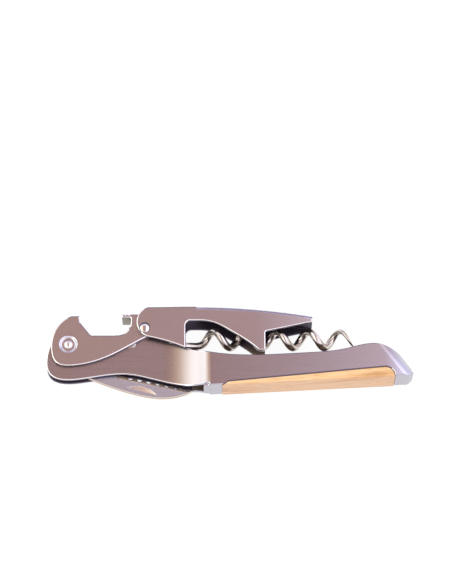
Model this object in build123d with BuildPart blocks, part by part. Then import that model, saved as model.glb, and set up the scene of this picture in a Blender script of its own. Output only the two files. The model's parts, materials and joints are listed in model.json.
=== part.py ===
"""Folding waiter's corkscrew, closed, lying on its side.

X runs from the nose to the handle's end, Y towards the lever and Z across the width.
The origin is the middle of the footprint, on the surface that it lies on.
"""
import os
from math import cos, pi, sin, sqrt

from build123d import *

os.makedirs("parts", exist_ok=True)

# Plates and clearances
sheet = 1.4
nose_gap = 2.8
cheek_gap = 0.2
running = 0.05
fixed_fit = 0.02

# Half widths, from the middle plane outwards: nose, front link, rear link
nose_half = nose_gap / 2 + sheet
front_inner = nose_half + cheek_gap
front_outer = front_inner + sheet
rear_inner = front_outer + cheek_gap
half_width = rear_inner + sheet

# Pivots
pivot_x = -53.0
pivot_y = 2.5
hinge_x = -27.9
hinge_y = 7.7
eye_x = -32.4
eye_y = 3.1
pivot_radius = 1.5
hinge_radius = 1.2
eye_pin_radius = 1.2
eye_pin_head = 1.5
dome_steps = 2

# Stop pin beside the knife's tang
tang_radius = 2.9
stop_pin_radius = 0.8
stop_gap = 0.3
stop_wall = 0.6
stop_angle = 70
stop_reach = tang_radius + stop_gap + stop_pin_radius
stop_x = pivot_x + stop_reach * cos(stop_angle * pi / 180)
stop_y = pivot_y + stop_reach * sin(stop_angle * pi / 180)

# Body frame, side view
nose_overhang = 7.2
nose_x = pivot_x - nose_overhang
nose_y = -3.4
nose_boss_radius = stop_reach + stop_pin_radius + stop_wall
nose_belly = (-47.0, -8.7)
waist = (-33.0, -7.4)
flank = (-24.0, -9.3)
throat = (-13.0, -11.6)
toe_x = -7.4
toe_y = -11.9
toe_step = 0.5
heel_x = 57.5
heel_y = -8.5
tail_x = 60.2
tail_y = -7.4
tail_mid = (56.2, -1.2)
crest_x = 48.0
crest_y = 2.5
rise_top = (38.0, 0.65)
rise_foot = (24.0, -0.8)
dip_x = 8.0
dip_y = -1.5
shoulder = (-14.7, 1.6)
pin_top = (-31.0, 6.1)
valley = (-41.0, 4.4)
relief_radius = 0.9
tongue_length = 1.1
tongue_corner = 1.0

# Body frame, plan view
joggle_start = -22.0
joggle_end = -5.5
joggle_turn = 0.8
tail_corner = 2.0
tail_round = 4.0
tail_lean = 53
tail_wall = 5.0
channel_corner = 3.4
floor_thickness = 1.2

# Wood inlay
inlay_left = -0.5
inlay_left_y = -10.6
inlay_right = 51.0
inlay_right_y = -5.6
inlay_proud = 0.45
inlay_end_radius = 3.3
inlay_lean = 1.37
inlay_edge = 1.1
glue_line = 0.03

# Knife
blade_thickness = 2.0
blade_heel = (-38.5, -6.6)
blade_mid = (-25.0, -9.5)
blade_tip = (-11.8, -12.3)
spine_neck = (pivot_x + 1.4, pivot_y - 7.3)
spine_root = (-44.5, -8.9)
spine_mid = (-34.0, -12.7)
spine_low = (-21.8, -14.9)
edge_bevel = 0.6
edge_bevel_width = 1.4
tooth_pitch = 3.06
tooth_radius = 0.8
tooth_count = 7
tooth_start = 6.1
nick_start = (-33.7, -11.4)
nick_bulge = (-29.0, -11.1)
nick_end = (-23.9, -13.9)
nick_depth = 0.4

# Front link
hook_top_y = 12.2
hook_left_x = pivot_x + 1.0
hook_tip_x = pivot_x + 3.5
throat_x = pivot_x + 3.8
throat_y = 9.9
recess_left = -45.7
recess_right = -37.8
recess_y = 5.5
lip_x = -32.5
lip_y = 12.8
lip_right = hinge_x - 1.1
lip_foot_y = 10.6
lip_reach = 3.0
lip_thickness = 1.1
ridge_pitch = 1.1
ridge_groove = 0.35
ridge_count = 2
front_end = (hinge_x + 3.7, hinge_y + 1.3)
front_low = (hinge_x + 0.7, hinge_y - 2.6)
front_curve = (-38.0, -0.8)
front_belly = (-50.0, -4.6)
front_chin = (pivot_x - 4.3, pivot_y - 5.9)
front_cheek = (pivot_x - 5.6, pivot_y - 2.2)
front_brow = (pivot_x - 4.0, pivot_y + 5.5)
dish_radius = 3.1
dish_floor_radius = 2.05
dish_depth = 0.75
head_radius = 1.95
head_rise = 0.25

# Rear link
rear_top_y = 14.8
rear_left_x = hinge_x + 1.0
rear_round = (hinge_x - 2.7, hinge_y + 1.9)
rear_low = (hinge_x + 0.7, hinge_y - 2.9)
skirt = (-21.3, 3.4)
skirt_x = -14.5
skirt_y = 1.0
bump = (-11.0, 15.0)
rear_end_x = 27.3
rear_end_y = 11.7
rear_end_low = 9.8
window_corner = 1.8
window_top = (-9.7, 10.3)
window_slope = (0.2, 6.8)
foot_left = 9.6
foot_right = 11.8
foot_y = 0.1
notch_y = 6.5
bend_radius = 1.2
flush_head_radius = 1.75
flush_head_depth = 0.7

# Worm
worm_axis_y = 5.3
worm_radius = 2.65
wire_radius = 1.25
wire_sides = 12
pitch = 10.4
turns = 5.0
taper_turns = 0.75
body_step = 0.5
taper_step = 0.25
first_bottom_x = -10.7
lead_in = 0.25
shank_end = -15.0
eye_radius = 3.0
eye_clearance = 0.35
point_radius = 0.3

middle = Plane.XY.offset(half_width)
reach = 2 * half_width + tail_x - nose_x
plan_plane = Plane(origin=(0, reach, half_width), x_dir=(1, 0, 0), z_dir=(0, -1, 0))


def back_line(x):
    """Height of the handle's back at x, a straight line from toe to heel."""
    return toe_y + (heel_y - toe_y) * (x - toe_x) / (heel_x - toe_x)


def inlay_line(x):
    """Height of the edge where steel meets wood on the handle's side."""
    slope = (inlay_right_y - inlay_left_y) / (inlay_right - inlay_left)
    return inlay_left_y + slope * (x - inlay_left)


def plan_outline(nose, wide, left, right, corner):
    """Plan of a plate pair: narrow nose, S-shaped joggle, wide handle with a round end."""
    turn_x = joggle_start + joggle_turn * (joggle_end - joggle_start)
    turn = (turn_x, nose + joggle_turn * (wide - nose))
    with BuildSketch(plan_plane) as plan:
        with BuildLine():
            Polyline((joggle_start, nose), (left, nose), (left, 0), (right, 0), (right, wide - corner))
            TangentArc((joggle_start, nose), turn, tangent=(1, 0))
            TangentArc((joggle_end, wide), turn, tangent=(-1, 0))
            Line((joggle_end, wide), (right - corner, wide))
            TangentArc((right - corner, wide), (right, wide - corner), tangent=(1, 0))
        make_face()
        mirror(about=Plane.XZ)
    return plan.sketch


# Channel of the body: open towards the lever, and right through at the nose
channel_plan = plan_outline(nose_gap / 2, rear_inner, nose_x - sheet, tail_x - tail_wall, channel_corner)
with BuildPart() as channel:
    with BuildSketch(middle):
        with BuildLine():
            Polyline(
                (nose_x - sheet, crest_y + half_width * 2),
                (nose_x - sheet, spine_low[1]),
                (toe_x, spine_low[1]),
                (toe_x, inlay_line(toe_x) + floor_thickness),
                (tail_x, inlay_line(tail_x) + floor_thickness),
                (tail_x, crest_y + half_width * 2),
                close=True,
            )
        make_face()
    extrude(amount=half_width, both=True)
    extrude(channel_plan, amount=2 * reach, mode=Mode.INTERSECT)


def inlay_profile(shrink):
    """Side outline of the inlay or its pocket, shrunk by the glue line and deeper than the back."""
    left = inlay_left + shrink
    right = inlay_right - shrink
    depth = floor_thickness + inlay_proud + inlay_end_radius
    with BuildSketch(middle) as profile:
        with BuildLine():
            top_left = (left, inlay_line(left) - shrink)
            top_right = (right, inlay_line(right) - shrink)
            end_x = right + inlay_end_radius
            end_y = inlay_line(right) - inlay_end_radius
            low_right = (end_x - shrink, back_line(end_x) - depth)
            low_left_y = back_line(left) - depth
            low_left = (left - inlay_lean * (inlay_line(left) - low_left_y), low_left_y)
            Line(low_left, top_left)
            Line(top_left, top_right)
            ThreePointArc(
                top_right,
                (right + inlay_end_radius * sin(pi / 4), end_y + inlay_end_radius * cos(pi / 4)),
                (end_x - shrink, end_y),
            )
            Polyline((end_x - shrink, end_y), low_right, low_left)
        make_face()
    return profile.sketch


# Body frame, pressed from one sheet
frame_plan = plan_outline(nose_half, half_width, nose_x - sheet, tail_x, tail_corner)
inlay_pocket = inlay_profile(0)
with BuildPart() as body_frame:
    with BuildSketch(middle):
        with BuildLine():
            boss_right = (
                pivot_x + nose_boss_radius * cos(pi / 4),
                pivot_y + nose_boss_radius * sin(pi / 4),
            )
            boss_left = (
                pivot_x - nose_boss_radius * cos(pi / 6),
                pivot_y + nose_boss_radius * sin(pi / 6),
            )
            ThreePointArc(boss_right, (pivot_x, pivot_y + nose_boss_radius), boss_left)
            Spline(
                boss_left,
                (nose_x, nose_y),
                tangents=((-sin(pi / 6), -cos(pi / 6)), (0, -1)),
            )
            Spline(
                (nose_x, nose_y),
                nose_belly,
                waist,
                flank,
                throat,
                (toe_x, toe_y + toe_step),
                tangents=((0, -1), (1, 0)),
            )
            Polyline((toe_x, toe_y + toe_step), (toe_x, toe_y), (heel_x, heel_y))
            heel_run = (tail_x - heel_x) * cos(pi / 4)
            heel_rise = (tail_y - heel_y) * sin(pi / 4)
            ThreePointArc((heel_x, heel_y), (heel_x + heel_run, tail_y - heel_rise), (tail_x, tail_y))
            ThreePointArc((tail_x, tail_y), tail_mid, (crest_x, crest_y))
            Spline(
                (crest_x, crest_y),
                rise_top,
                rise_foot,
                (dip_x, dip_y),
                shoulder,
                pin_top,
                valley,
                boss_right,
                tangents=((-1, 0), (-1, 1)),
            )
        make_face()
    extrude(amount=half_width, both=True)
    extrude(frame_plan, amount=2 * reach, mode=Mode.INTERSECT)
    tail_arc = ThreePointArc((tail_x, tail_y), tail_mid, (crest_x, crest_y), mode=Mode.PRIVATE)
    lean = tail_lean * pi / 180
    tail_plane = Plane(
        origin=tail_arc.arc_center + Vector(sin(lean), cos(lean), 0) * tail_arc.radius + (0, 0, half_width),
        x_dir=(0, 0, 1),
        z_dir=(cos(lean), -sin(lean), 0),
    )
    with BuildSketch(tail_plane) as tail_section:
        Rectangle(2 * half_width, 2 * reach, align=(Align.CENTER, Align.MIN))
        fillet(tail_section.vertices().group_by(Axis.Y)[0], radius=tail_round)
    extrude(amount=reach, both=True, mode=Mode.INTERSECT)
    add(channel.part, mode=Mode.SUBTRACT)
    extrude(inlay_pocket, amount=half_width, both=True, mode=Mode.SUBTRACT)
    with Locations((pivot_x, pivot_y, half_width)):
        Hole(radius=pivot_radius + fixed_fit, depth=half_width)
    with Locations((eye_x, eye_y, half_width)):
        Hole(radius=eye_pin_radius + fixed_fit, depth=half_width)
    with Locations((stop_x, stop_y, half_width)):
        Hole(radius=stop_pin_radius + fixed_fit, depth=half_width)
    with Locations((toe_x, toe_y, half_width)):
        Hole(radius=relief_radius, depth=half_width)
    tongue_plane = Plane(
        origin=(toe_x, toe_y, half_width),
        x_dir=(heel_x - toe_x, heel_y - toe_y, 0),
        z_dir=(toe_y - heel_y, heel_x - toe_x, 0),
    )
    with BuildSketch(tongue_plane) as tongue:
        tongue_back = tongue_length + relief_radius + sheet
        with Locations((-tongue_length, 0)):
            Rectangle(tongue_back, 2 * (half_width - sheet), align=(Align.MIN, Align.CENTER))
        fillet(tongue.vertices().group_by(Axis.X)[0], radius=tongue_corner)
    extrude(amount=floor_thickness)
body_frame.part.label = "body_frame"
export_step(body_frame.part, "parts/body_frame.step")

# Wood inlay, a block with rounded back edges that fills the pocket and stands proud of the back
inlay_block = inlay_profile(glue_line)
with BuildPart() as wood_inlay:
    extrude(inlay_block, amount=half_width, both=True)
    back_plane = Plane(
        origin=(toe_x, toe_y - inlay_proud, half_width),
        x_dir=(0, 0, 1),
        z_dir=(heel_x - toe_x, heel_y - toe_y, 0),
    )
    with BuildSketch(back_plane) as section:
        Rectangle(2 * half_width, 2 * half_width, align=(Align.CENTER, Align.MAX))
        fillet(section.vertices().group_by(Axis.Y)[-1], radius=inlay_edge)
    extrude(amount=reach, mode=Mode.INTERSECT)
wood_inlay.part.label = "wood_inlay"
export_step(wood_inlay.part, "parts/wood_inlay.step")


def rivet(x, y, shank, head, head_base, head_top):
    """Rivet across the width: a shank with a domed head at each end."""
    edge_height = (head_base + head_top) / 2
    dome_angles = [n * pi / 2 / dome_steps for n in range(dome_steps + 1)]
    dome = [(head * cos(a), edge_height + (head_top - edge_height) * sin(a)) for a in dome_angles]
    with BuildPart() as made:
        with BuildSketch(Plane(origin=(x, y, half_width), x_dir=(1, 0, 0), z_dir=(0, -1, 0))):
            with BuildLine():
                Polyline((0, 0), (shank, 0), (shank, head_base), (head, head_base), *dome, close=True)
            make_face()
        revolve(axis=Axis((x, y, half_width), (0, 0, 1)))
        mirror(about=middle)
    return made.part


# Rivet at the nose, headed in the dishes of the front link
lever_rivet = rivet(
    pivot_x,
    pivot_y,
    pivot_radius,
    head_radius,
    front_outer - dish_depth + running,
    front_outer + head_rise,
)
lever_rivet.label = "lever_rivet"
export_step(lever_rivet, "parts/lever_rivet.step")

# Rivet between the links, headed flush in the rear link
link_rivet = rivet(
    hinge_x,
    hinge_y,
    hinge_radius,
    flush_head_radius,
    half_width - flush_head_depth + running,
    half_width - running,
)
link_rivet.label = "link_rivet"
export_step(link_rivet, "parts/link_rivet.step")

# Pin of the worm, peened just proud of the nose plates
worm_pin = rivet(eye_x, eye_y, eye_pin_radius, eye_pin_head, nose_half, nose_half + cheek_gap / 2)
worm_pin.label = "worm_pin"
export_step(worm_pin, "parts/worm_pin.step")

# Stop pin, flush with the nose plates
with BuildPart() as knife_stop_pin:
    with BuildSketch(middle):
        with Locations((stop_x, stop_y)):
            Circle(stop_pin_radius)
    extrude(amount=nose_half, both=True)
knife_stop_pin.part.label = "knife_stop_pin"
export_step(knife_stop_pin.part, "parts/knife_stop_pin.step")

# Knife: round tang, bellied blade with scallops along its edge, nail nick on one face
with BuildPart() as knife_blade:
    with BuildSketch(middle):
        with BuildLine():
            tang_low = (pivot_x - tang_radius * cos(pi / 4), pivot_y - tang_radius * sin(pi / 4))
            tang_high = (pivot_x + tang_radius * cos(pi / 4), pivot_y + tang_radius * sin(pi / 4))
            ThreePointArc(
                tang_low,
                (pivot_x - tang_radius * cos(pi / 4), pivot_y + tang_radius * sin(pi / 4)),
                tang_high,
            )
            Spline(tang_low, spine_neck, spine_root, spine_mid, spine_low, blade_tip)
            ThreePointArc(blade_heel, blade_mid, blade_tip)
            Line(blade_heel, tang_high)
        make_face()
    extrude(amount=blade_thickness / 2, both=True)
    cutting_edge = ThreePointArc(blade_heel, blade_mid, blade_tip, mode=Mode.PRIVATE)
    bevelled = [
        edge
        for edge in knife_blade.edges().filter_by(GeomType.CIRCLE)
        if abs(edge.radius - cutting_edge.radius) < fixed_fit
    ]
    chamfer(bevelled, length=edge_bevel, length2=edge_bevel_width)
    teeth = [
        cutting_edge.position_at(tooth_start + n * tooth_pitch, position_mode=PositionMode.LENGTH)
        for n in range(tooth_count)
    ]
    with BuildSketch(middle):
        with Locations(*teeth):
            Circle(tooth_radius)
    extrude(amount=blade_thickness, both=True, mode=Mode.SUBTRACT)
    with BuildSketch(middle.offset(blade_thickness / 2)):
        with BuildLine():
            ThreePointArc(nick_start, nick_bulge, nick_end)
            Line(nick_end, nick_start)
        make_face()
    extrude(amount=-nick_depth, mode=Mode.SUBTRACT)
    with Locations((pivot_x, pivot_y, half_width)):
        Hole(radius=pivot_radius + running, depth=half_width)
knife_blade.part.label = "knife_blade"
export_step(knife_blade.part, "parts/knife_blade.step")

# Front link: two cheeks with the cap hook, joined by the lip that rests on a bottle's rim
with BuildPart() as front_link:
    with BuildSketch(middle):
        with BuildLine():
            Polyline(
                (hook_left_x, hook_top_y),
                (hook_tip_x, hook_top_y),
                (throat_x, throat_y),
                (recess_left, recess_y),
                (recess_right, recess_y),
            )
            Spline(
                (recess_right, recess_y),
                (lip_x, lip_foot_y),
                tangents=((1, 0), (0, 1)),
            )
            Polyline((lip_x, lip_foot_y), (lip_x, lip_y), (lip_right, lip_y))
            ThreePointArc((lip_right, lip_y), front_end, front_low)
            Spline(
                front_low,
                front_curve,
                front_belly,
                front_chin,
                front_cheek,
                front_brow,
                (hook_left_x, hook_top_y),
            )
        make_face()
    extrude(amount=front_outer, both=True)
    with BuildSketch(middle):
        with Locations((pivot_x, pivot_y)):
            Rectangle(reach, reach)
    extrude(amount=front_inner, both=True, mode=Mode.SUBTRACT)
    with BuildSketch(middle):
        with Locations((lip_right, lip_y)):
            Rectangle(lip_right - lip_x + lip_reach, lip_thickness, align=(Align.MAX, Align.MAX))
    extrude(amount=front_outer, both=True)
    with BuildSketch(middle):
        for n in range(ridge_count):
            with Locations((lip_x - lip_reach + (n + 1) * ridge_pitch, lip_y)):
                Circle(ridge_groove)
    extrude(amount=front_outer, both=True, mode=Mode.SUBTRACT)
    with Locations((pivot_x, pivot_y, half_width)):
        Hole(radius=pivot_radius + running, depth=half_width)
    with Locations((hinge_x, hinge_y, half_width)):
        Hole(radius=hinge_radius + fixed_fit, depth=half_width)
    for side in (1, -1):
        dish_plane = Plane(origin=(pivot_x, pivot_y, half_width + side * front_outer), z_dir=(0, 0, -side))
        with BuildSketch(dish_plane):
            Circle(dish_radius)
        with BuildSketch(dish_plane.offset(dish_depth)):
            Circle(dish_floor_radius)
        loft(mode=Mode.SUBTRACT)
front_link.part.label = "front_link"
export_step(front_link.part, "parts/front_link.step")

# Rear link: a folded channel with a rounded back and two feet, and two flat cheeks at the hinge
with BuildPart() as rear_link:
    with BuildSketch(middle):
        with BuildLine():
            TangentArc(bump, (rear_end_x, rear_end_y), tangent=(1, 0))
            Polyline(
                (rear_end_x, rear_end_y),
                (rear_end_x, rear_end_low),
                (foot_right, notch_y),
                (foot_right, foot_y),
                (foot_left, foot_y),
            )
            Spline((foot_left, foot_y), window_slope, window_top, tangents=((-1, 1), (-1, 0)))
            Polyline(window_top, (bump[0], window_top[1]), bump)
        make_face()
    extrude(amount=half_width, both=True)
    back_edges = rear_link.edges().filter_by(GeomType.CIRCLE).sort_by(SortBy.LENGTH)[-2:]
    fillet(back_edges, radius=bend_radius)
    with BuildSketch(middle):
        with BuildLine():
            Spline((rear_left_x, rear_top_y), bump, tangents=((1, 0), (1, 0)))
            Polyline(bump, (bump[0], window_top[1]), (skirt_x + window_corner, window_top[1]))
            TangentArc(
                (skirt_x + window_corner, window_top[1]),
                (skirt_x, window_top[1] - window_corner),
                tangent=(-1, 0),
            )
            Line((skirt_x, window_top[1] - window_corner), (skirt_x, skirt_y))
            Spline((skirt_x, skirt_y), skirt, rear_low)
            ThreePointArc(rear_low, rear_round, (rear_left_x, rear_top_y))
        make_face()
    extrude(amount=half_width, both=True)
    with BuildSketch(middle):
        with BuildLine():
            Polyline(
                (rear_end_x, rear_end_y - sheet),
                (rear_end_x + sheet, rear_end_y - sheet),
                (rear_end_x + sheet, -reach),
                (-reach, -reach),
                (-reach, reach),
                (bump[0], reach),
                (bump[0], bump[1] - sheet),
            )
            TangentArc((bump[0], bump[1] - sheet), (rear_end_x, rear_end_y - sheet), tangent=(1, 0))
        make_face()
    extrude(amount=rear_inner, both=True, mode=Mode.SUBTRACT)
    with Locations((hinge_x, hinge_y, half_width)):
        Hole(radius=hinge_radius + running, depth=half_width)
    for side in (1, -1):
        head_plane = Plane(origin=(hinge_x, hinge_y, half_width + side * half_width), z_dir=(0, 0, -side))
        with BuildSketch(head_plane):
            Circle(flush_head_radius + running)
        extrude(amount=flush_head_depth, mode=Mode.SUBTRACT)
rear_link.part.label = "rear_link"
export_step(rear_link.part, "parts/rear_link.step")


def helix_point(turn):
    """Point of the worm's helix after a number of turns from its first lowest place."""
    angle = 2 * pi * turn
    return Vector(
        first_bottom_x + pitch * turn,
        worm_axis_y - worm_radius * cos(angle),
        half_width - worm_radius * sin(angle),
    )


def helix_tangent(turn):
    """Direction of the helix there."""
    angle = 2 * pi * turn
    return Vector(
        pitch / (2 * pi),
        worm_radius * sin(angle),
        -worm_radius * cos(angle),
    ).normalized()


def biarc(start, start_tangent, end, end_tangent):
    """Two tangent arcs from one point and direction to another."""
    span = end - start
    both = start_tangent + end_tangent
    spread = 2 * (1 - start_tangent.dot(end_tangent))
    along = span.dot(both)
    handle = (sqrt(along**2 + spread * span.dot(span)) - along) / spread
    joint = (start + start_tangent * handle + end - end_tangent * handle) / 2
    TangentArc(start, joint, tangent=start_tangent)
    TangentArc(end, joint, tangent=-end_tangent)


def helix_arcs(start, step, count):
    """The helix from a turn onwards, as biarcs of one step each."""
    for n in range(count):
        here = start + n * step
        after = here + step
        biarc(helix_point(here), helix_tangent(here), helix_point(after), helix_tangent(after))


# Worm: flat eye, straight shank, right-handed helix that tapers to its point
body_steps = round((turns - taper_turns - lead_in) / body_step)
taper_steps = round(taper_turns / taper_step)
shank_start = Vector(eye_x + eye_radius - wire_radius / 2, eye_y, half_width)
shank_stop = Vector(shank_end, eye_y, half_width)
taper_start = lead_in + body_steps * body_step
taper_end = taper_start + taper_steps * taper_step
with BuildPart() as worm:
    with BuildLine():
        Line(shank_start, shank_stop)
        biarc(shank_stop, Vector(1, 0, 0), helix_point(lead_in), helix_tangent(lead_in))
        helix_arcs(lead_in, body_step, body_steps)
    with BuildSketch(Plane(origin=shank_start, z_dir=(1, 0, 0))):
        RegularPolygon(wire_radius, wire_sides)
    sweep()
    with BuildLine() as taper_path:
        helix_arcs(taper_start, taper_step, taper_steps)
    with BuildSketch(Plane(origin=helix_point(taper_start), z_dir=helix_tangent(taper_start))):
        RegularPolygon(wire_radius, wire_sides)
    with BuildSketch(Plane(origin=helix_point(taper_end), z_dir=helix_tangent(taper_end))):
        RegularPolygon(point_radius, wire_sides)
    sweep(path=taper_path.line, multisection=True)
    with BuildSketch(middle):
        with Locations((eye_x, eye_y)):
            Circle(eye_radius)
    extrude(amount=nose_gap / 2 - eye_clearance, both=True)
    with Locations((eye_x, eye_y, half_width)):
        Hole(radius=eye_pin_radius + running, depth=half_width)
worm.part.label = "worm"
export_step(worm.part, "parts/worm.step")

# Least gap between the worm's turns, measured on points of its centre line
samples_per_turn = 24
line_points = [helix_point(n / samples_per_turn) for n in range(round(turns * samples_per_turn) + 1)]
half_turn = samples_per_turn // 2
turn_gap = min(
    (line_points[b] - line_points[a]).length
    for a in range(len(line_points))
    for b in range(a + half_turn, len(line_points))
)
print(f"least gap between the worm's turns: {turn_gap - 2 * wire_radius:.2f} mm")
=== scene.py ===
"""Looks of the folding waiter's corkscrew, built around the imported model.

Everything is in metres, in the model's own frame: X from nose to tail, Y towards the lever, Z up.
"""
import json
from math import cos, pi, radians, sin

import bmesh
import bpy
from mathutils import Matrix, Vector
from mathutils.bvhtree import BVHTree


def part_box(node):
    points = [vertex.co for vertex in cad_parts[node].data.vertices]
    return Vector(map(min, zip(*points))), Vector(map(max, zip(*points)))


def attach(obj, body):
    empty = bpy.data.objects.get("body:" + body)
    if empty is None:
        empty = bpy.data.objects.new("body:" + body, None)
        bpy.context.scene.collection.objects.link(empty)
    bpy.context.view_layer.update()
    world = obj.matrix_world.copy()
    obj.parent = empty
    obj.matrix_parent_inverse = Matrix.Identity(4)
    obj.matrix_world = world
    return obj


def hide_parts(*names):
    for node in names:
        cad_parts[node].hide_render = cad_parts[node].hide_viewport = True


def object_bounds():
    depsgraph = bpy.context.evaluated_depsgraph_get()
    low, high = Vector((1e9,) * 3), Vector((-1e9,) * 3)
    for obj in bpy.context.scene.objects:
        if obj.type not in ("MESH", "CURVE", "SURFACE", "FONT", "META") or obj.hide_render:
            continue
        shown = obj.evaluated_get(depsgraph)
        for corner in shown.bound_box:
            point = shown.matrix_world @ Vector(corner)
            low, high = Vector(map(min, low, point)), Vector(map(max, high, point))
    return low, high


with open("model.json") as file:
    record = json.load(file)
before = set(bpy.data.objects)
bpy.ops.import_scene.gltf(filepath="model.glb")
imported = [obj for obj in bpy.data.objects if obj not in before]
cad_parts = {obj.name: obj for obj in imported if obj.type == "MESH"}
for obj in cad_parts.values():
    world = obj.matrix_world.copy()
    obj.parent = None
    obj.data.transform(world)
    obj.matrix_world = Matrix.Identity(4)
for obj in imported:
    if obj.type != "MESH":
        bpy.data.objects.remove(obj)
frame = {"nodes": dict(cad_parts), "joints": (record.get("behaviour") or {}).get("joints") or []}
cad_low, cad_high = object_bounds()
inlay_low, inlay_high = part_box("wood_inlay")

MM = 0.001
joints = {joint["name"]: joint for joint in frame["joints"]}
pivot = Vector(joints["lever_swing"]["pos_m"])
hinge = Vector(joints["lever_fold"]["pos_m"])
eye = Vector(joints["worm_swing"]["pos_m"])
middle_z = pivot.z

# Camera and picture
photo_width = 452
photo_height = 584
metres_per_pixel = 0.33 * MM
middle_px = 229.5
middle_py = 355.15
elevation = radians(72)
lens = 200
sensor = 36

# Rounded edges
link_edge = 0.35 * MM
body_edge = 0.3 * MM
fine_edge = 0.08 * MM
wood_edge = 0.25 * MM
edge_angle = radians(32)
corner_angle = radians(60)
flat_angle = radians(0.3)
weld_distance = 0.002 * MM
bend_end_area = 0.5 * MM * MM
bend_end_corners = 5
link_hole_radius = 2.1 * MM
dish_radius = 3.4 * MM
stray_limit = 0.12 * MM
width_shares = (1.0, 0.5)

# Where a face lies and which way it looks, to tell its finish
body_floor_half = 1.3 * MM
front_floor_half = 2.5 * MM
rear_floor_half = 4.4 * MM
nose_end_x = -12.0 * MM
channel_end_x = 46.0 * MM
open_normal = 0.3
upright_normal = 0.3
back_normal = 0.6
bend_normal = 0.15
tail_normal = 0.05
upper_rim_normal = 0.2
level_normal = 0.98
nick_step = 0.2 * MM
FACE, RIM, INNER, CUT, BACK, HOLLOW = range(6)

# Noise in the materials: its usual range, and scales along X, Y and Z
noise_low = 0.3
noise_high = 0.7
noise_detail = 4.0
fine_grain = (900, 3200, 3200)
long_grain = (60, 7000, 7000)
upright_grain = (3200, 120, 3200)
blade_grain = (2500, 5200, 5200)
cloud_scale = (900, 900, 900)

# Depth of the brushing
dull_depth = 0.001 * MM
handle_depth = 0.0004 * MM
blade_depth = 0.0003 * MM
bend_depth = 0.0002 * MM
front_depth = 0.0001 * MM
rear_depth = 0.00004 * MM

# Slight bows of the steel: where they start along X, and how strong they are
handle_bow_x = -5.0 * MM
handle_bow = 0.55
rear_bow_x = 8.0 * MM
rear_bow = 1.6
nick_bow_x = -31.0 * MM
nick_bow = -12.0

# Painted light: the handle is painted paler towards the tail between two places along X, a painted
# highlight; the lever's inside is painted browner towards its foot between two places along Y, painted
# floor light
tail_highlight_start_x = 50.0 * MM
tail_highlight_full_x = 58.0 * MM
tail_highlight_colour = (0.61, 0.60, 0.68)
foot_light_start_y = 6.0 * MM
foot_light_full_y = 2.0 * MM
foot_light_colour = (0.26, 0.20, 0.16)
# Painted shade: the near-black colour of the insides
inner_shade_colour = (0.080, 0.066, 0.092)

# Wood, with colours from the veins to the palest streaks
inlay_slope = 0.097
wood_scale = (28, 420, 300)
wood_detail = 6.0
wood_distortion = 0.6
wood_stops = [
    (0.30, (0.50, 0.25, 0.090)),
    (0.42, (0.74, 0.44, 0.19)),
    (0.52, (0.85, 0.57, 0.29)),
    (0.62, (0.78, 0.48, 0.21)),
    (0.74, (0.91, 0.67, 0.38)),
]
wood_roughness = (0.55, 0.42)
pore_scale = (240, 5200, 5200)
pore_detail = 3.0
pore_stops = [(0.32, (0.62, 0.50, 0.42)), (0.46, (1.0, 1.0, 1.0))]
pore_share = 0.55
pore_depth = 0.02 * MM

# Rivets
round_sides = 48
dome_rings = 8
lever_shank_radius = 1.5 * MM
lever_head_radius = 1.95 * MM
lever_head_height = 0.9 * MM
lever_dome_radius = 1.45 * MM
lever_dome_rise = 0.8 * MM
thin_shank_radius = 1.2 * MM
link_head_radius = 1.75 * MM
link_head_height = 0.6 * MM
link_dome_rise = 0.55 * MM
pin_head_radius = 1.5 * MM
pin_head_height = 0.1 * MM
pin_dome_rise = 0.08 * MM

# Worm
worm_axis_y = 5.3 * MM
worm_radius = 2.65 * MM
wire_radius = 1.25 * MM
worm_pitch = 10.4 * MM
worm_turns = 5.0
taper_turns = 0.75
point_radius = 0.22 * MM
first_bottom_x = -10.7 * MM
shank_end_x = -15.0 * MM
shank_steps = 12
lead_in_turn = 0.25
lead_in_steps = 20
wire_sides = 28
rings_per_turn = 56
eye_radius = 3.0 * MM
eye_half_thickness = 1.05 * MM
eye_edge = 0.25 * MM
eye_hole_radius = 1.25 * MM

# Floor
floor_half = 6.0
floor_corners = ((-1, -1), (1, -1), (1, 1), (-1, 1))
floor_scale = (3, 3, 3)
floor_stops = [(0.2, (0.09, 0.09, 0.09)), (0.8, (0.10, 0.10, 0.10))]
floor_roughness = 0.9
floor_glow = 0.94

# Light from left (0) to right (1): a white softbox with a warm edge, a dim middle and a cool softbox
light_stops = [
    (0.00, (1.15, 1.15, 1.15)),
    (0.13, (1.30, 1.35, 1.35)),
    (0.19, (2.8, 3.2, 3.2)),
    (0.26, (2.6, 2.9, 2.8)),
    (0.34, (1.15, 0.78, 0.44)),
    (0.41, (0.62, 0.40, 0.33)),
    (0.47, (0.47, 0.28, 0.25)),
    (0.53, (0.53, 0.37, 0.39)),
    (0.58, (0.90, 0.80, 0.92)),
    (0.66, (2.05, 2.02, 2.45)),
    (0.80, (1.6, 1.6, 1.8)),
    (1.00, (1.3, 1.3, 1.4)),
]

# Light from the lever's side: a pale strip, dim in its middle near the horizon
strip_range = (0.48, 0.60)
strip_colour = (0.95, 0.90, 1.15)
dim_range = (0.84, 0.95)
dim_half_width = (0.12, 0.35)
dim_colour = (0.40, 0.34, 0.44)

# Light from the wood's side: bright and even
even_range = (-0.3, -0.7)
even_colour = (1.25, 1.2, 1.3)


def new_material(name):
    """A material with a Principled shader: its tree, its shader and a coordinate in metres."""
    made = bpy.data.materials.new(name)
    made.use_nodes = True
    tree = made.node_tree
    shader = tree.nodes["Principled BSDF"]
    place = tree.nodes.new("ShaderNodeTexCoord").outputs["Object"]
    return made, tree, shader, place


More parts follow.
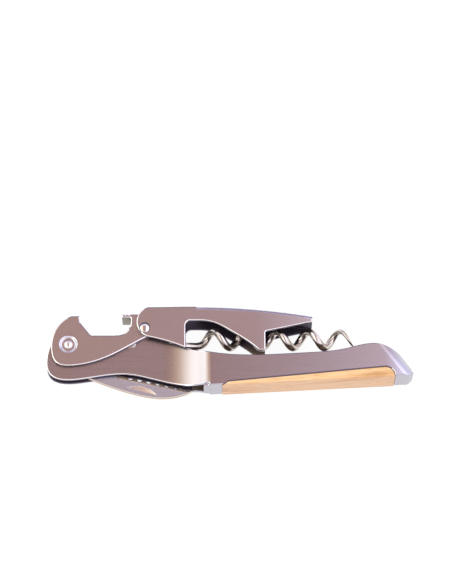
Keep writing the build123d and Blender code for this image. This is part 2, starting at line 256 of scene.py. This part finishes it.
def stretched_noise(tree, place, scale, detail=noise_detail, distortion=0.0, slope=0.0):
    """Noise stretched by a scale along each axis, as a 0 to 1 value; its X axis rises by a slope."""
    turned = tree.nodes.new("ShaderNodeMapping")
    turned.inputs["Rotation"].default_value = (0, 0, -slope)
    tree.links.new(place, turned.inputs["Vector"])
    mapping = tree.nodes.new("ShaderNodeMapping")
    mapping.inputs["Scale"].default_value = scale
    tree.links.new(turned.outputs["Vector"], mapping.inputs["Vector"])
    noise = tree.nodes.new("ShaderNodeTexNoise")
    noise.inputs["Scale"].default_value = 1.0
    noise.inputs["Detail"].default_value = detail
    noise.inputs["Distortion"].default_value = distortion
    tree.links.new(mapping.outputs["Vector"], noise.inputs["Vector"])
    return noise.outputs["Fac"]


def ramp(tree, value, stops):
    """Colour ramp over a value, from (place, colour) stops."""
    made = tree.nodes.new("ShaderNodeValToRGB")
    elements = made.color_ramp.elements
    while len(elements) < len(stops):
        elements.new(0.5)
    for element, (place, colour) in zip(elements, stops):
        element.position = place
        element.color = (*colour, 1)
    tree.links.new(value, made.inputs["Fac"])
    return made.outputs["Color"]


def remap(tree, value, start, stop, low, high, interpolation="SMOOTHSTEP"):
    """Maps one range of a value to another, and holds it at the ends."""
    made = tree.nodes.new("ShaderNodeMapRange")
    made.interpolation_type = interpolation
    made.inputs["From Min"].default_value = start
    made.inputs["From Max"].default_value = stop
    made.inputs["To Min"].default_value = low
    made.inputs["To Max"].default_value = high
    tree.links.new(value, made.inputs["Value"])
    return made.outputs["Result"]


def spread(tree, noise, low, high):
    """Maps a noise's usual range to another."""
    return remap(tree, noise, noise_low, noise_high, low, high, "LINEAR")


def bump(tree, height, distance):
    """Bump node over a height."""
    made = tree.nodes.new("ShaderNodeBump")
    made.inputs["Distance"].default_value = distance
    made.inputs["Strength"].default_value = 1.0
    tree.links.new(height, made.inputs["Height"])
    return made


def calculated(tree, operation, first, second=None):
    """Result of an operation on a value and, where it takes two, on a second value or number."""
    made = tree.nodes.new("ShaderNodeMath")
    made.operation = operation
    tree.links.new(first, made.inputs[0])
    if isinstance(second, float):
        made.inputs[1].default_value = second
    elif second:
        tree.links.new(second, made.inputs[1])
    return made.outputs["Value"]


def blended(tree, share, first, second):
    """Mix of two colours by a share: each is an output or a plain colour."""
    made = tree.nodes.new("ShaderNodeMix")
    made.data_type = "RGBA"
    tree.links.new(share, made.inputs["Factor"])
    for socket, colour in (("A", first), ("B", second)):
        if isinstance(colour, tuple):
            made.inputs[socket].default_value = (*colour, 1)
        else:
            tree.links.new(colour, made.inputs[socket])
    return made.outputs["Result"]


def along(tree, place, axis):
    """One axis of a coordinate."""
    split = tree.nodes.new("ShaderNodeSeparateXYZ")
    tree.links.new(place, split.inputs["Vector"])
    return split.outputs[axis]


def crown(tree, place, start, bow):
    """Bump node of a sheet that is flat up to a place along X and bows down beyond it."""
    past = calculated(tree, "MAXIMUM", calculated(tree, "SUBTRACT", along(tree, place, "X"), start), 0.0)
    height = calculated(tree, "MULTIPLY", calculated(tree, "MULTIPLY", past, past), -bow)
    return bump(tree, height, 1.0)


def shade(colour, share):
    """A colour made darker or lighter by a share."""
    return tuple(channel * share for channel in colour)


def tinted(colour, tint):
    """A colour seen through a tint."""
    return tuple(channel * share for channel, share in zip(colour, tint))


def two_tone(tree, noise, colour, contrast):
    """A colour that gets darker and lighter with a noise."""
    stops = [(noise_low, shade(colour, 1 - contrast)), (noise_high, shade(colour, 1 + contrast))]
    return ramp(tree, noise, stops)


def brushed_steel(
    name, colour, contrast, roughness, grain=fine_grain, depth=dull_depth, bow_start=0.0, bow=0.0, end=None
):
    """Satin steel: lines along the axis with the smallest scale, a slight bow, and painted light in another
    colour towards one end.
    """
    made, tree, shader, place = new_material(name)
    lines = stretched_noise(tree, place, grain)
    tone = two_tone(tree, lines, colour, contrast)
    if end:
        axis, start, full, painted_light_colour = end
        share = remap(tree, along(tree, place, axis), start, full, 0, 1)
        tone = blended(tree, share, tone, painted_light_colour)
    tree.links.new(tone, shader.inputs["Base Color"])
    tree.links.new(spread(tree, lines, *roughness), shader.inputs["Roughness"])
    shader.inputs["Metallic"].default_value = 1.0
    brushing = bump(tree, lines, depth)
    tree.links.new(crown(tree, place, bow_start, bow).outputs["Normal"], brushing.inputs["Normal"])
    tree.links.new(brushing.outputs["Normal"], shader.inputs["Normal"])
    return made


def polished_steel(name, colour, contrast, roughness):
    """Polished steel with faint clouding."""
    made, tree, shader, place = new_material(name)
    clouds = stretched_noise(tree, place, cloud_scale)
    tree.links.new(two_tone(tree, clouds, colour, contrast), shader.inputs["Base Color"])
    tree.links.new(spread(tree, clouds, *roughness), shader.inputs["Roughness"])
    shader.inputs["Metallic"].default_value = 1.0
    return made


def streaked_wire(name, stops, roughness, scale):
    """Polished wire, with light and dark streaks along it."""
    made, tree, shader, _ = new_material(name)
    wire_place = tree.nodes.new("ShaderNodeUVMap")
    wire_place.uv_map = "wire"
    streaks = stretched_noise(tree, wire_place.outputs["UV"], scale)
    tree.links.new(ramp(tree, streaks, stops), shader.inputs["Base Color"])
    tree.links.new(spread(tree, streaks, *roughness), shader.inputs["Roughness"])
    shader.inputs["Metallic"].default_value = 1.0
    return made


def olive_wood(name, tint=(1.0, 1.0, 1.0)):
    """Pale olive wood: streaks along the handle, thin brown veins and fine pores, all tinted."""
    made, tree, shader, place = new_material(name)
    streaks = stretched_noise(tree, place, wood_scale, wood_detail, wood_distortion, inlay_slope)
    colour = ramp(tree, streaks, [(stop, tinted(tone, tint)) for stop, tone in wood_stops])
    pores = stretched_noise(tree, place, pore_scale, pore_detail, 0.0, inlay_slope)
    mixed = tree.nodes.new("ShaderNodeMix")
    mixed.data_type = "RGBA"
    mixed.blend_type = "MULTIPLY"
    mixed.inputs["Factor"].default_value = pore_share
    tree.links.new(colour, mixed.inputs["A"])
    tree.links.new(ramp(tree, pores, pore_stops), mixed.inputs["B"])
    tree.links.new(mixed.outputs["Result"], shader.inputs["Base Color"])
    tree.links.new(spread(tree, pores, *wood_roughness), shader.inputs["Roughness"])
    tree.links.new(bump(tree, pores, pore_depth).outputs["Normal"], shader.inputs["Normal"])
    return made


# Steel of the body
# Painted highlight: the handle turns paler and bluer towards the tail
handle_steel = brushed_steel(
    "handle_steel",
    colour=(0.44, 0.37, 0.37),
    contrast=0.02,
    roughness=(0.25, 0.29),
    grain=long_grain,
    depth=handle_depth,
    bow_start=handle_bow_x,
    bow=handle_bow,
    end=("X", tail_highlight_start_x, tail_highlight_full_x, tail_highlight_colour),
)
# Painted light: the bent back, a paler and bluer copy of the handle's steel
back_sheen_steel = brushed_steel(
    "back_sheen_steel",
    colour=(0.50, 0.48, 0.54),
    contrast=0.02,
    roughness=(0.28, 0.34),
    grain=long_grain,
    depth=handle_depth,
)
# Painted shade: the body's channel, darker and browner than its steel
channel_shade_steel = brushed_steel("channel_shade_steel", (0.30, 0.23, 0.18), contrast=0.10, roughness=(0.40, 0.50))
# Painted shade: the insides of the body, near black
inner_shade_steel = brushed_steel("inner_shade_steel", inner_shade_colour, contrast=0.15, roughness=(0.45, 0.55))

# Steel of the lever
front_steel = brushed_steel(
    "front_steel", (0.545, 0.465, 0.44), contrast=0.01, roughness=(0.25, 0.27), depth=front_depth
)
# Painted shade: the front link's insides, darker and browner
lip_shade_steel = brushed_steel("lip_shade_steel", (0.30, 0.26, 0.21), contrast=0.08, roughness=(0.35, 0.45))
# Painted highlight: the dish's sloping side, polished and painted paler
dish_highlight_steel = polished_steel("dish_highlight_steel", (0.60, 0.57, 0.61), contrast=0.02, roughness=(0.14, 0.18))
rear_steel = brushed_steel(
    "rear_steel",
    colour=(0.535, 0.46, 0.45),
    contrast=0.006,
    roughness=(0.26, 0.27),
    grain=upright_grain,
    depth=rear_depth,
    bow_start=rear_bow_x,
    bow=rear_bow,
)
# Painted shade: the rear link's bend, darker and bluer
bend_shade_steel = brushed_steel(
    "bend_shade_steel", (0.40, 0.37, 0.46), contrast=0.02, roughness=(0.25, 0.28), depth=bend_depth
)
# Painted shade inside the rear link, with painted floor light towards its foot
foot_shade_and_light_steel = brushed_steel(
    "foot_shade_and_light_steel",
    colour=inner_shade_colour,
    contrast=0.15,
    roughness=(0.45, 0.55),
    end=("Y", foot_light_start_y, foot_light_full_y, foot_light_colour),
)

# Steel of the knife
blade_steel = brushed_steel(
    "blade_steel",
    colour=(0.65, 0.70, 0.79),
    contrast=0.03,
    roughness=(0.22, 0.27),
    grain=blade_grain,
    depth=blade_depth,
)
# Painted reflection: the knife's ground edge, rougher and painted tan
ground_edge_reflection_steel = brushed_steel("ground_edge_reflection_steel", (0.62, 0.50, 0.40), contrast=0.08, roughness=(0.45, 0.55))
# Painted reflection: the nail nick's floor, painted warm cream
nick_reflection_steel = brushed_steel(
    "nick_reflection_steel",
    colour=(0.80, 0.72, 0.66),
    contrast=0.05,
    roughness=(0.25, 0.30),
    bow_start=nick_bow_x,
    bow=nick_bow,
)

# Steel of edges, rivets and worm
# Painted shade: dark upper edges, and a dark line at the inlay
cut_shade_steel = brushed_steel("cut_shade_steel", (0.20, 0.17, 0.24), contrast=0.10, roughness=(0.30, 0.40))
# Painted highlight: rims polished and painted near white
rim_highlight_steel = polished_steel("rim_highlight_steel", (0.86, 0.84, 0.84), contrast=0.02, roughness=(0.12, 0.18))
rivet_steel = polished_steel("rivet_steel", (0.80, 0.78, 0.77), contrast=0.03, roughness=(0.08, 0.12))
worm_steel = streaked_wire(
    "worm_steel",
    stops=[(0.35, (0.40, 0.32, 0.26)), (0.65, (0.82, 0.77, 0.73))],
    roughness=(0.30, 0.16),
    scale=(1.5, 14, 1),
)

# Wood of the inlay: its sides, its edge at the steel in painted shade and its back in painted light
wood = olive_wood("olive_wood")
# Painted shade: the wood's edge at the steel, dark
shaded_edge_wood = olive_wood("shaded_edge_wood", tint=(0.35, 0.33, 0.35))
# Painted light: the wood's back, painted greyer and pinker
floor_lit_back_wood = olive_wood("floor_lit_back_wood", tint=(0.84, 0.82, 0.98))


def smooth_mesh(shape, name):
    """A mesh with smooth faces from a shape, which is used up."""
    for face in shape.faces:
        face.smooth = True
    mesh = bpy.data.meshes.new(name)
    shape.to_mesh(mesh)
    shape.free()
    return mesh


def finish_piece(mesh, name, body, node, finishes):
    """Links a mesh as a piece that stands for a node and rides on its body."""
    for finish in finishes:
        mesh.materials.append(finish)
    piece = bpy.data.objects.new(name, mesh)
    bpy.context.scene.collection.objects.link(piece)
    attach(piece, body)
    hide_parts(node)
    return piece


def ends_a_bend(face):
    """True for the small many-cornered face where a rounded bend stops."""
    return len(face.verts) > bend_end_corners and face.calc_area() < bend_end_area


def is_near(edge, axis, radius):
    """True for an edge within a radius of an axis along Z."""
    return all((vert.co - axis).xy.length < radius for vert in edge.verts)


def plate_part(face, is_rim, open_side, floor_half_width):
    """Which finish a face of a plate has, in a channel that opens to one side along Y: painted shade inside
    and on upper rims, a painted highlight on the other rims.
    """
    offset = face.calc_center_median().z - middle_z
    opens = face.normal.y * open_side > open_normal
    looks_inwards = face.normal.z * offset < -abs(offset) * open_normal
    if looks_inwards or (opens and abs(offset) < floor_half_width):
        return INNER
    if is_rim:
        is_upper = face.normal.y > upper_rim_normal and face.normal.x > -upper_rim_normal
        return CUT if is_upper else RIM
    if face.normal.y * open_side < -bend_normal:
        return BACK
    return CUT if opens and abs(face.normal.z) < upright_normal else FACE


def body_part(face, is_rim):
    """Which finish a face of the body has: painted shade at the nose's cut edges and at the inlay's edge,
    painted light on the bent back, painted shade in the channel.
    """
    place = face.calc_center_median().x
    is_nose = place < nose_end_x
    if face.normal.y < -open_normal:
        if not is_nose:
            return CUT if is_rim and inlay_low.x < place < inlay_high.x else BACK
        if abs(face.normal.z) < upright_normal:
            return CUT
    if place > channel_end_x and face.normal.x > tail_normal:
        return FACE
    part = plate_part(face, is_rim, 1, body_floor_half)
    return HOLLOW if part == INNER and not is_nose else part


def front_part(face, is_rim):
    """Which finish a face of the front link has: the sloping side of its dish is polished and painted
    brighter, a painted highlight.
    """
    is_dish = (face.calc_center_median() - pivot).xy.length < dish_radius
    if is_dish and abs(face.normal.z) < level_normal:
        return HOLLOW
    return plate_part(face, is_rim, -1, front_floor_half)


def rear_part(face, is_rim):
    """Which finish a face of the rear link has."""
    return plate_part(face, is_rim, -1, rear_floor_half)


def knife_part(face, is_rim):
    """Which finish a face of the knife has: the flat, the rim with a painted highlight, the sunken nail
    nick or the ground edge, each with a painted reflection.
    """
    if is_rim:
        return RIM
    if abs(face.normal.z) < level_normal:
        return CUT
    height = abs(face.calc_center_median().z - middle_z)
    return INNER if height < knife_half - nick_step else FACE


def wood_part(face, is_rim):
    """Which finish a face of the inlay has: the side, the back painted paler as a painted light, or the
    edge at the steel painted dark as a painted shade.
    """
    if face.normal.y < -back_normal:
        return INNER
    return RIM if is_rim and face.normal.y > -open_normal else FACE


def pin_part(face, is_rim):
    """A pin has one finish."""
    return FACE


def leaves(shape, surface, limit):
    """True if a shape has a triangle that lies off a surface by more than a limit."""
    for corners in shape.calc_loop_triangles():
        middle = sum((corner.vert.co for corner in corners), Vector()) / len(corners)
        if surface.find_nearest(middle)[3] > limit:
            return True
    return False


def rounded(node, width, angle, axis, plain_radius):
    """A node's shape with its edges rounded, but for those near an axis, and the faces that this makes."""
    shape = bmesh.new()
    shape.from_mesh(frame["nodes"][node].data)
    bmesh.ops.remove_doubles(shape, verts=shape.verts, dist=weld_distance)
    surface = BVHTree.FromBMesh(shape)
    bmesh.ops.dissolve_limit(shape, angle_limit=flat_angle, verts=shape.verts, edges=shape.edges)
    sharp = [
        edge
        for edge in shape.edges
        if edge.is_manifold
        and edge.calc_face_angle(0) > angle
        and not is_near(edge, axis, plain_radius)
        and not any(ends_a_bend(face) for face in edge.link_faces)
    ]
    made = bmesh.ops.bevel(
        shape,
        geom=sharp,
        offset=width,
        offset_type="OFFSET",
        segments=2,
        profile=0.5,
        affect="EDGES",
        clamp_overlap=False,
        miter_outer="ARC",
    )
    for vert in shape.verts:
        nearest, _, _, gap = surface.find_nearest(vert.co)
        if gap > stray_limit:
            vert.co = nearest
    if leaves(shape, surface, width):
        shape.free()
        return None, ()
    return shape, set(made["faces"])


def softened(node, name, body, finishes, part, width, angle=edge_angle, axis=pivot, plain_radius=0.0):
    """A copy of a node with its sharp edges rounded, as much as its surface stays whole."""
    for share in width_shares:
        shape, rims = rounded(node, width * share, angle, axis, plain_radius)
        if shape:
            break
    else:
        shape = bmesh.new()
        shape.from_mesh(frame["nodes"][node].data)
    for face in shape.faces:
        face.material_index = part(face, face in rims)
    piece = finish_piece(smooth_mesh(shape, name), name, body, node, finishes)
    piece.modifiers.new("weighted", "WEIGHTED_NORMAL")
    return piece


# Plates with rounded edges
knife_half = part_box("knife_blade")[1].z - middle_z
softened(
    "body_frame", "body", "frame",
    finishes=[handle_steel, rim_highlight_steel, inner_shade_steel, cut_shade_steel, back_sheen_steel, channel_shade_steel],
    part=body_part,
    width=body_edge,
)
softened(
    "front_link", "front_lever_link", "front_link",
    finishes=[front_steel, rim_highlight_steel, lip_shade_steel, cut_shade_steel, front_steel, dish_highlight_steel],
    part=front_part,
    width=link_edge,
    plain_radius=dish_radius,
)
softened(
    "rear_link", "rear_lever_link", "rear_link",
    finishes=[rear_steel, rim_highlight_steel, foot_shade_and_light_steel, cut_shade_steel, bend_shade_steel],
    part=rear_part,
    width=link_edge,
    angle=corner_angle,
    axis=hinge,
    plain_radius=link_hole_radius,
)
softened(
    "knife_blade", "foil_knife", "knife",
    finishes=[blade_steel, rim_highlight_steel, nick_reflection_steel, ground_edge_reflection_steel],
    part=knife_part,
    width=fine_edge,
)
softened("wood_inlay", "inlay", "frame", [wood, shaded_edge_wood, floor_lit_back_wood], wood_part, wood_edge)
softened("knife_stop_pin", "stop_pin", "frame", [rivet_steel], pin_part, fine_edge)


def on_circle(radius, n, sides):
    """X and Y of corner n of a circle that has a number of sides."""
    angle = 2 * pi * n / sides
    return radius * cos(angle), radius * sin(angle)


def lathe(shape, centre, profile):
    """Turns a profile of (radius, height) points about Z through a centre."""
    rings = []
    for radius, height in profile:
        sides = round_sides if radius else 1
        ring = [centre + Vector((*on_circle(radius, n, round_sides), height)) for n in range(sides)]
        rings.append([shape.verts.new(point) for point in ring])
    for lower, upper in zip(rings, rings[1:]):
        for n in range(round_sides):
            places = ((lower, n), (lower, n + 1), (upper, n + 1), (upper, n))
            corners = [ring[k % len(ring)] for ring, k in places]
            shape.faces.new(list(dict.fromkeys(corners)))


def dome(radius, base, rise):
    """Profile of a domed head, from its rim to its crown."""
    angles = [n * pi / 2 / dome_rings for n in range(dome_rings)]
    return [(radius * cos(angle), base + rise * sin(angle)) for angle in angles] + [(0, base + rise)]


def rivet(node, name, body, centre, shank, head, head_base, head_top, rise, dome_radius):
    """Rivet across the width with a head at each end: a dome, inside a flat collar where it is narrower."""
    half = [(shank, 0), (shank, head_base), (head, head_base)]
    if dome_radius < head:
        half.append((head, head_top - rise))
    half += dome(dome_radius, head_top - rise, rise)
    lower = [(radius, -height) for radius, height in reversed(half)]
    shape = bmesh.new()
    lathe(shape, centre, lower[:-1] + half)
    bmesh.ops.recalc_face_normals(shape, faces=shape.faces)
    mesh = smooth_mesh(shape, name)
    mesh.set_sharp_from_angle(angle=edge_angle)
    return finish_piece(mesh, name, body, node, [rivet_steel])


# Rivets and pins
lever_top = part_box("lever_rivet")[1].z - middle_z
link_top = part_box("link_rivet")[1].z - middle_z
pin_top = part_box("worm_pin")[1].z - middle_z
rivet(
    "lever_rivet", "nose_rivet", "frame", pivot,
    shank=lever_shank_radius,
    head=lever_head_radius,
    head_base=lever_top - lever_head_height,
    head_top=lever_top,
    rise=lever_dome_rise,
    dome_radius=lever_dome_radius,
)
rivet(
    "link_rivet", "hinge_rivet", "front_link", hinge,
    shank=thin_shank_radius,
    head=link_head_radius,
    head_base=link_top - link_head_height,
    head_top=link_top,
    rise=link_dome_rise,
    dome_radius=link_head_radius,
)
rivet(
    "worm_pin", "pivot_pin", "frame", eye,
    shank=thin_shank_radius,
    head=pin_head_radius,
    head_base=pin_top - pin_head_height,
    head_top=pin_top,
    rise=pin_dome_rise,
    dome_radius=pin_head_radius,
)


# Worm
def helix_point(turn):
    """Point of the worm's helix after a number of turns."""
    angle = 2 * pi * turn
    return Vector(
        (
            first_bottom_x + worm_pitch * turn,
            worm_axis_y - worm_radius * cos(angle),
            middle_z - worm_radius * sin(angle),
        )
    )


def helix_tangent(turn):
    """Slope of the helix, per turn."""
    angle = 2 * pi * turn
    return Vector((worm_pitch, 2 * pi * worm_radius * sin(angle), -2 * pi * worm_radius * cos(angle)))


def eased(start, start_slope, stop, stop_slope, share):
    """Point at a share of a cubic curve, from its ends and its slopes there."""
    square = share**2
    cube = share**3
    return (
        start * (2 * cube - 3 * square + 1)
        + stop * (3 * square - 2 * cube)
        + start_slope * (cube - 2 * square + share)
        + stop_slope * (cube - square)
    )


def worm_line():
    """Centre line of the worm as (point, radius): shank, lead-in curve, helix and point."""
    shank_start = Vector((eye.x + eye_radius / 2, eye.y, middle_z))
    shank_end = Vector((shank_end_x, eye.y, middle_z))
    line = [(shank_start.lerp(shank_end, n / shank_steps), wire_radius) for n in range(shank_steps)]
    first = helix_point(lead_in_turn)
    pull = (first - shank_end).length
    shank_slope = Vector((1, 0, 0)) * pull
    helix_slope = helix_tangent(lead_in_turn).normalized() * pull
    for n in range(lead_in_steps):
        line.append((eased(shank_end, shank_slope, first, helix_slope, n / lead_in_steps), wire_radius))
    steps = round((worm_turns - lead_in_turn) * rings_per_turn)
    for n in range(steps + 1):
        turn = lead_in_turn + n / rings_per_turn
        share = min(1.0, (worm_turns - turn) / taper_turns)
        line.append((helix_point(turn), point_radius + (wire_radius - point_radius) * share))
    return line


def tube(shape, line, layer):
    """Round tube along a line, with U along it and V round it."""
    side = Vector((0, 0, 1))
    rings = []
    travelled = 0.0
    for n, (point, radius) in enumerate(line):
        before = line[max(n - 1, 0)][0]
        after = line[min(n + 1, len(line) - 1)][0]
        heading = (after - before).normalized()
        side = (side - heading * side.dot(heading)).normalized()
        across = heading.cross(side)
        travelled += (point - before).length
        corners = [on_circle(radius, k, wire_sides) for k in range(wire_sides)]
        ring = [shape.verts.new(point + side * u + across * v) for u, v in corners]
        rings.append((ring, travelled))
    for (lower, start), (upper, stop) in zip(rings, rings[1:]):
        for k in range(wire_sides):
            following = (k + 1) % wire_sides
            face = shape.faces.new([lower[k], lower[following], upper[following], upper[k]])
            places = [(start, k), (start, k + 1), (stop, k + 1), (stop, k)]
            for loop, (u, v) in zip(face.loops, places):
                loop[layer].uv = (u / (2 * pi * wire_radius), v / wire_sides)
    for ring, _ in (rings[0], rings[-1]):
        shape.faces.new(ring)


def worm_piece():
    """The worm: tube along its line, and its flat eye round the pin."""
    shape = bmesh.new()
    layer = shape.loops.layers.uv.new("wire")
    tube(shape, worm_line(), layer)
    rim = eye_half_thickness - eye_edge
    eye_profile = [
        (eye_hole_radius, -eye_half_thickness),
        (eye_radius - eye_edge, -eye_half_thickness),
        (eye_radius, -rim),
        (eye_radius, rim),
        (eye_radius - eye_edge, eye_half_thickness),
        (eye_hole_radius, eye_half_thickness),
        (eye_hole_radius, -eye_half_thickness),
    ]
    lathe(shape, eye, eye_profile)
    bmesh.ops.remove_doubles(shape, verts=shape.verts, dist=weld_distance)
    bmesh.ops.recalc_face_normals(shape, faces=shape.faces)
    mesh = smooth_mesh(shape, "corkscrew_worm")
    mesh.set_sharp_from_angle(angle=edge_angle)
    return finish_piece(mesh, "corkscrew_worm", "worm", "worm", [worm_steel])


worm_piece()


# Floor
def floor_material():
    """Plain pale floor, lit from below as on a light table, so that shadows stay faint."""
    made, tree, shader, place = new_material("pale_floor")
    clouds = stretched_noise(tree, place, floor_scale)
    tree.links.new(ramp(tree, clouds, floor_stops), shader.inputs["Base Color"])
    shader.inputs["Roughness"].default_value = floor_roughness
    shader.inputs["Specular IOR Level"].default_value = 0.0
    shader.inputs["Emission Color"].default_value = (1, 1, 1, 1)
    shader.inputs["Emission Strength"].default_value = floor_glow
    return made


floor_mesh = bpy.data.meshes.new("floor")
floor_points = [(x * floor_half, y * floor_half, 0) for x, y in floor_corners]
floor_mesh.from_pydata(floor_points, [], [range(len(floor_points))])
floor_mesh.materials.append(floor_material())
floor = bpy.data.objects.new("floor", floor_mesh)
bpy.context.scene.collection.objects.link(floor)

# Light from all round, by direction
world = bpy.data.worlds.new("studio")
bpy.context.scene.world = world
world.use_nodes = True
sky = world.node_tree
direction = sky.nodes.new("ShaderNodeTexCoord").outputs["Generated"]
to_right = along(sky, direction, "X")
to_lever = along(sky, direction, "Y")
boxes = ramp(sky, remap(sky, to_right, -1, 1, 0, 1, "LINEAR"), light_stops)
strip = blended(sky, remap(sky, to_lever, *strip_range, 0, 1), boxes, strip_colour)
middle_share = remap(sky, calculated(sky, "ABSOLUTE", to_right), *dim_half_width, 1, 0)
dim_share = calculated(sky, "MULTIPLY", middle_share, remap(sky, to_lever, *dim_range, 0, 1))
dimmed = blended(sky, dim_share, strip, dim_colour)
tone = blended(sky, remap(sky, to_lever, *even_range, 0, 1), dimmed, even_colour)
sky.links.new(tone, sky.nodes["Background"].inputs["Color"])
sky.nodes["Background"].inputs["Strength"].default_value = 1.0
bpy.context.scene.view_settings.view_transform = "Standard"

# Camera
camera_data = bpy.data.cameras.new("camera")
camera_data.lens = lens
camera_data.sensor_width = sensor
camera = bpy.data.objects.new("camera", camera_data)
bpy.context.scene.collection.objects.link(camera)
bpy.context.scene.camera = camera
back = Vector((0, -cos(elevation), sin(elevation)))
aim_x = (photo_width / 2 - middle_px) * metres_per_pixel
aim_y = (middle_py - photo_height / 2) * metres_per_pixel / sin(elevation)
aim = Vector((aim_x, aim_y, middle_z)) + back * (cad_high.z - middle_z) / sin(elevation)
distance = lens * photo_height * metres_per_pixel / sensor
camera.location = aim + back * distance
camera.rotation_mode = "QUATERNION"
camera.rotation_quaternion = (-back).to_track_quat("-Z", "Y")
